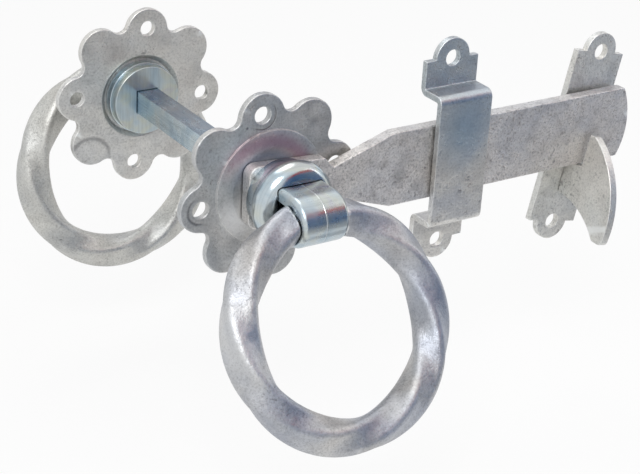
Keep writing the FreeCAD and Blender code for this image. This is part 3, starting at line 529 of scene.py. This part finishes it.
ringTree = twistedRing()
socketOf = {item.name: item.identifier for item in ringTree.interface.items_tree if item.in_out == "INPUT"}
pivotOf = {joint["child"]: joint["pos_m"] for joint in behaviour["joints"]}
for node, (swing, facing, finish) in ringsAtRest.items():
    holder = bpy.data.objects.new(node + "_holder", bpy.data.meshes.new(node + "_holder"))
    scene.collection.objects.link(holder)
    modifier = holder.modifiers.new("twistedRing", "NODES")
    modifier.node_group = ringTree
    for name, value in ringShape.items():
        modifier[socketOf[name]] = value * mm
    for name, value in ringTwist.items():
        modifier[socketOf[name]] = value
    modifier[socketOf["Turn"]] = (math.radians(swing), 0.0, math.radians(facing))
    modifier[socketOf["Place"]] = tuple(float(v) for v in pivotOf[node])
    modifier[socketOf["Finish"]] = finish
    plain = bpy.data.meshes.new_from_object(holder.evaluated_get(bpy.context.evaluated_depsgraph_get()))
    holder.modifiers.remove(modifier)
    bpy.data.objects.remove(holder)
    piece = easeEdges(plain, node + "_piece", ringDress["edge"] * mm, sharp=ringDress["sharp"], flatten=False)
    finishPiece(piece, finish, node)


# studio: white room, pale paper floor, three soft lamps, and four cards that only the metal's reflections show
studio = {  # drops below the latch in mm, reach and aim in metres
    "floorDrop": 40.0, "sheetDrop": 36.0, "floorReach": 6.0, "floorGlow": 0.86, "room": 0.5,
    "aim": (0.05, 0.02, -0.01)}
lamps = {  # name: place in metres, power in watts, size in metres
    "key": ((-0.55, -0.7, 0.9), 6.0, 0.6), "fill": ((0.9, -0.5, 0.4), 2.6, 0.8),
    "top": ((0.1, 0.5, 1.1), 3.0, 0.9)}
lowest = solidBox[0].z
level, reach = lowest - studio["floorDrop"] * mm, studio["floorReach"]


def stageSheet(name, corners, material):
    mesh = bpy.data.meshes.new(name)
    mesh.from_pydata(corners, [], [(0, 1, 2, 3)])
    mesh.materials.append(material)
    sheet = bpy.data.objects.new(name, mesh)
    scene.collection.objects.link(sheet)
    return sheet


paper = bpy.data.materials.new("white_paper_floor")
paper.use_nodes = True
tree = paper.node_tree
tree.nodes.clear()
rays = addNode(tree, "ShaderNodeLightPath")
mirrored = addNode(tree, "ShaderNodeMath", {
    0: rays.outputs["Is Glossy Ray"], 1: rays.outputs["Is Transmission Ray"]}, operation="MAXIMUM")
seen = addNode(tree, "ShaderNodeMath", {
    0: rays.outputs["Is Camera Ray"], 1: mirrored.outputs[0]}, operation="MAXIMUM")
glowing = addNode(tree, "ShaderNodeMath", {0: seen.outputs[0], 1: studio["floorGlow"]}, operation="MULTIPLY")
lit = addNode(tree, "ShaderNodeBsdfDiffuse", {"Color": linear("#F6F6F6")})
glow = addNode(tree, "ShaderNodeEmission", {"Color": linear("#FFFFFF"), "Strength": 1.0})
mixed = addNode(tree, "ShaderNodeMixShader", {0: glowing.outputs[0], 1: lit.outputs[0], 2: glow.outputs[0]})
addNode(tree, "ShaderNodeOutputMaterial", {"Surface": mixed.outputs[0]})
stageSheet("floor", [
    (-reach, -reach, level), (reach, -reach, level), (reach, reach, level), (-reach, reach, level)], paper)

cards = {  # name: middle in mm, width, height, way its height runs, colour; the last lies flat
    "slateCard": ((420.0, -540.0, 120.0), 1000.0, 520.0, (0.0, 0.0, 1.0), "#57749A"),
    "russetCard": ((420.0, -540.0, 490.0), 1000.0, 220.0, (0.0, 0.0, 1.0), "#BE5258"),
    "greyCard": ((430.0, 640.0, 400.0), 800.0, 420.0, (-0.2, -0.3, 0.9), "#C4C4CE"),
    "slateSheet": ((250.0, -370.0, lowest / mm - studio["sheetDrop"]), 520.0, 420.0, (0.56, -0.83, 0.0),
                   "#A8A9AC")}
for name, (middle, width, height, lean, tone) in cards.items():
    cloth = bpy.data.materials.new(name)
    cloth.use_nodes = True
    cloth.node_tree.nodes.clear()
    matt = addNode(cloth.node_tree, "ShaderNodeBsdfDiffuse", {"Color": linear(tone)})
    addNode(cloth.node_tree, "ShaderNodeOutputMaterial", {"Surface": matt.outputs[0]})
    centre = Vector(middle) * mm
    aside = Vector((-middle[1], middle[0], 0.0)).normalized() * width / 2 * mm
    rise = Vector(lean).normalized() * height / 2 * mm
    card = stageSheet(name, [
        centre - aside - rise, centre + aside - rise, centre + aside + rise, centre - aside + rise], cloth)
    card.visible_camera = False
    card.visible_shadow = False
    card.visible_diffuse = False

world = bpy.data.worlds.new("white_room")
scene.world = world
world.use_nodes = True
tree = world.node_tree
tree.nodes.clear()
rays = addNode(tree, "ShaderNodeLightPath")
direct = addNode(tree, "ShaderNodeMath", {
    0: rays.outputs["Is Camera Ray"], 1: rays.outputs["Is Glossy Ray"]}, operation="MAXIMUM")
shown = addNode(tree, "ShaderNodeMath", {
    0: direct.outputs[0], 1: rays.outputs["Is Transmission Ray"]}, operation="MAXIMUM")
strength = addNode(tree, "ShaderNodeMapRange", {
    "Value": shown.outputs[0], "To Min": studio["room"], "To Max": 1.0})
white = addNode(tree, "ShaderNodeBackground", {
    "Color": linear("#FFFFFF"), "Strength": strength.outputs["Result"]})
addNode(tree, "ShaderNodeOutputWorld", {"Surface": white.outputs[0]})


def softbox(name, place, power, size):
    lamp = bpy.data.lights.new(name, "AREA")
    lamp.shape = "DISK"
    lamp.size = size
    lamp.energy = power
    thing = bpy.data.objects.new(name, lamp)
    thing.location = place
    aim = Vector(studio["aim"]) - Vector(place)
    thing.rotation_mode = "QUATERNION"
    thing.rotation_quaternion = aim.to_track_quat("-Z", "Y")
    scene.collection.objects.link(thing)


for name, (place, power, size) in lamps.items():
    softbox(name, place, power, size)

# camera at the photograph's place
view = {  # place, lens and sensor in mm, clip in metres
    "place": (-312.75, -499.80, 259.74), "forward": (0.50788, 0.74574, -0.43118),
    "up": (0.19335, 0.38909, 0.90068), "lens": 91.61, "sensor": 36.0, "clip": (0.01, 50.0)}
camera = bpy.data.cameras.new("camera")
camera.lens = view["lens"]
camera.sensor_width = view["sensor"]
camera.clip_start, camera.clip_end = view["clip"]
eyePoint = bpy.data.objects.new("camera", camera)
scene.collection.objects.link(eyePoint)
scene.camera = eyePoint
back = -Vector(view["forward"]).normalized()
right = Vector(view["up"]).cross(back).normalized()
above = back.cross(right)
turn = Matrix((right, above, back)).transposed().to_4x4()
eyePoint.matrix_world = Matrix.Translation(Vector(view["place"]) * mm) @ turn
print("studio and camera ready")
